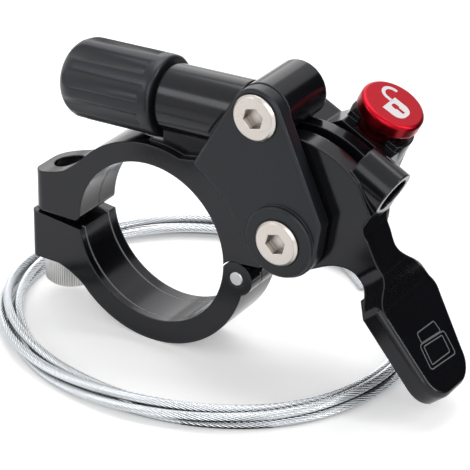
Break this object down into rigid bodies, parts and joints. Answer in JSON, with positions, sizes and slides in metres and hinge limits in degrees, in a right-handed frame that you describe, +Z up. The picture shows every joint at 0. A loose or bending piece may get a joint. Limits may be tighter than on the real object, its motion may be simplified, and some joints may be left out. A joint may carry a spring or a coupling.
{
  "type": "fork lockout lever",
  "caption": "Handlebar lever that pulls a cable to lock a suspension fork: hinged bar clamp, thumb paddle with grooved sector, ratchet, red release button, cable adjuster and loose cable.",
  "frame": {"origin": "centre of the handlebar's bore, in the middle of the clamp's width", "axes": "+Y along the bar, +Z up along the clamp bolt's axis, +X from the clamp bolt towards the thumb paddle"},
  "size_m": [0.0689, 0.0641, 0.0407],
  "materials": {
    "cast_black": "satin black",
    "plate_grey": "matte dark anodised",
    "red_anodised": "red anodised",
    "grip_black": "matte black anodised",
    "nickel": "nickel plated",
    "bolt_steel": "bright, with a fine knurl",
    "steel": "plain steel",
    "seal_rubber": "matte",
    "cable_steel": "stranded bright steel"
  },
  "bodies": {
    "housing": {"clamp_body": "cast_black", "clamp_lower": "cast_black", "hinge_pin": "steel", "clamp_bolt": "bolt_steel", "front_plate": "plate_grey", "top_screw": "nickel", "pivot_screw": "nickel", "pivot_bush": "steel", "front_washer": "steel", "rear_washer": "steel", "pawl_pin": "steel", "pawl_spring": "steel", "button_spring": "steel", "return_spring": "steel", "barrel_spring": "steel", "cable_coil": "cable_steel", "cable_tail": "cable_steel", "cable_nipple": "cable_steel", "cable_crimp": "cable_steel"},
    "lever": {"lever": "cast_black", "ratchet_ring": "steel"},
    "button": {"release_button": "red_anodised", "button_clip": "steel"},
    "pawl": {"pawl": "steel"},
    "adjuster_slide": {"barrel_seal": "seal_rubber"},
    "adjuster": {"barrel_screw": "steel", "barrel_grip": "grip_black"}
  },
  "joints": [
    {"name": "lever_swing", "type": "hinge", "parent": "housing", "child": "lever", "pos_m": [0.0205, 0, 0.0073], "axis": [0, 1, 0], "range_deg": [-30, 0], "deforming": ["return_spring"]},
    {"name": "button_press", "type": "slide", "parent": "housing", "child": "button", "axis": [-0.4462, 0, -0.8949], "range_m": [0, 0.0013], "stiffness_N_per_m": 600, "deforming": ["button_spring"]},
    {"name": "pawl_turn", "type": "hinge", "parent": "housing", "child": "pawl", "pos_m": [0.02, 0.00555, 0.01526], "axis": [0, 1, 0], "range_deg": [0, 19], "deforming": ["pawl_spring"]},
    {"name": "adjuster_travel", "type": "slide", "parent": "housing", "child": "adjuster_slide", "axis": [-0.999, 0, -0.0436], "range_m": [-0.0004, 0.0024], "deforming": ["barrel_spring"]},
    {"name": "adjuster_turn", "type": "hinge", "parent": "adjuster_slide", "child": "adjuster", "pos_m": [0.001, 0, 0.01913], "axis": [-0.999, 0, -0.0436], "range_deg": [-181, 1081]}
  ],
  "couplings": [
    {"joint": "pawl_turn", "follows": "button_press", "rad_per_m": 248.37},
    {"joint": "adjuster_turn", "follows": "adjuster_travel", "rad_per_m": 7854}
  ]
}
